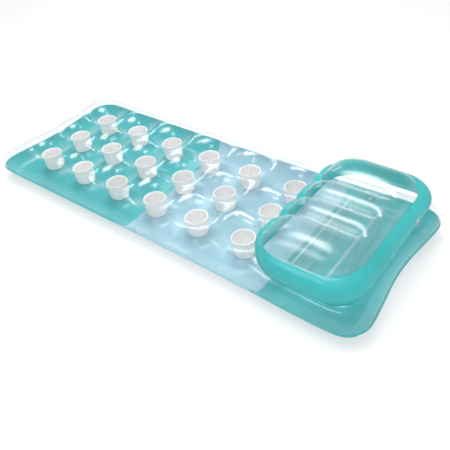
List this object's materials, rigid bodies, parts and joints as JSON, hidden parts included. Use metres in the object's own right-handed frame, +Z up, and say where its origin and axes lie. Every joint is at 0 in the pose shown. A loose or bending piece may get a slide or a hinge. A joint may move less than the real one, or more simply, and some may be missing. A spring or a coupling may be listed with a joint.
{
  "type": "inflatable pool float",
  "caption": "Inflatable pool lounge: air mattress with a clear top, round open pockets and a banded head pillow, each chamber with a push-in valve.",
  "frame": {"origin": "under the middle of the float, on the surface it rests on", "axes": "+X from the foot to the head, +Y across, +Z up"},
  "size_m": [1.9, 0.712, 0.268],
  "materials": {
    "clear_film": "clear glossy vinyl film",
    "teal_film": "glossy teal vinyl film",
    "pale_blue_film": "glossy pale blue vinyl film",
    "white_film": "glossy white vinyl film, crumpled",
    "valve_vinyl": "soft satin moulded vinyl",
    "plug_vinyl": "soft satin moulded vinyl"
  },
  "bodies": {
    "float": {"mattress_top_sheet": "clear_film", "bottom_foot_panel": "teal_film", "bottom_middle_panel": "pale_blue_film", "bottom_head_panel": "teal_film", "pocket_cup_1_1": "white_film", "pocket_cup_1_2": "white_film", "pocket_cup_1_3": "white_film", "pocket_cup_2_1": "white_film", "pocket_cup_2_2": "white_film", "pocket_cup_2_3": "white_film", "pocket_cup_3_1": "white_film", "pocket_cup_3_2": "white_film", "pocket_cup_3_3": "white_film", "pocket_cup_4_1": "white_film", "pocket_cup_4_2": "white_film", "pocket_cup_4_3": "white_film", "pocket_cup_5_1": "white_film", "pocket_cup_5_2": "white_film", "pocket_cup_5_3": "white_film", "pocket_cup_6_1": "white_film", "pocket_cup_6_2": "white_film", "pocket_cup_6_3": "white_film", "head_web_front": "clear_film", "head_web_rear": "clear_film", "pillow_top_sheet": "clear_film", "pillow_side_band": "teal_film", "pillow_bottom_sheet": "clear_film", "pillow_web_near": "clear_film", "pillow_web_middle": "clear_film", "pillow_web_far": "clear_film", "mattress_valve_collar": "valve_vinyl", "pillow_valve_collar": "valve_vinyl"},
    "mattress_stem": {"mattress_valve_stem": "valve_vinyl"},
    "mattress_plug": {"mattress_valve_plug": "plug_vinyl"},
    "mattress_flap": {"mattress_valve_flap": "valve_vinyl"},
    "pillow_stem": {"pillow_valve_stem": "valve_vinyl"},
    "pillow_plug": {"pillow_valve_plug": "plug_vinyl"},
    "pillow_flap": {"pillow_valve_flap": "valve_vinyl"}
  },
  "joints": [
    {"name": "mattress_valve_push", "type": "slide", "parent": "float", "child": "mattress_stem", "axis": [0, 0.866, -0.5], "range_m": [0, 0.0085]},
    {"name": "mattress_plug_swing", "type": "hinge", "parent": "mattress_stem", "child": "mattress_plug", "pos_m": [0.664, 0.34293, 0.0305], "axis": [0, -0.5, -0.866], "range_deg": [0, 160]},
    {"name": "mattress_flap_swing", "type": "hinge", "parent": "mattress_stem", "child": "mattress_flap", "pos_m": [0.6562, 0.32647, 0.04], "axis": [0, 0.5, 0.866], "range_deg": [0, 70], "stiffness_Nm_per_rad": 0.0004},
    {"name": "pillow_valve_push", "type": "slide", "parent": "float", "child": "pillow_stem", "axis": [1, 0, 0], "range_m": [0, 0.0085]},
    {"name": "pillow_plug_swing", "type": "hinge", "parent": "pillow_stem", "child": "pillow_plug", "pos_m": [0.91324, 0.125, 0.16508], "axis": [0, 1, 0], "range_deg": [0, 160]},
    {"name": "pillow_flap_swing", "type": "hinge", "parent": "pillow_stem", "child": "pillow_flap", "pos_m": [0.89424, 0.125, 0.17288], "axis": [0, -1, 0], "range_deg": [0, 70], "stiffness_Nm_per_rad": 0.0004}
  ]
}
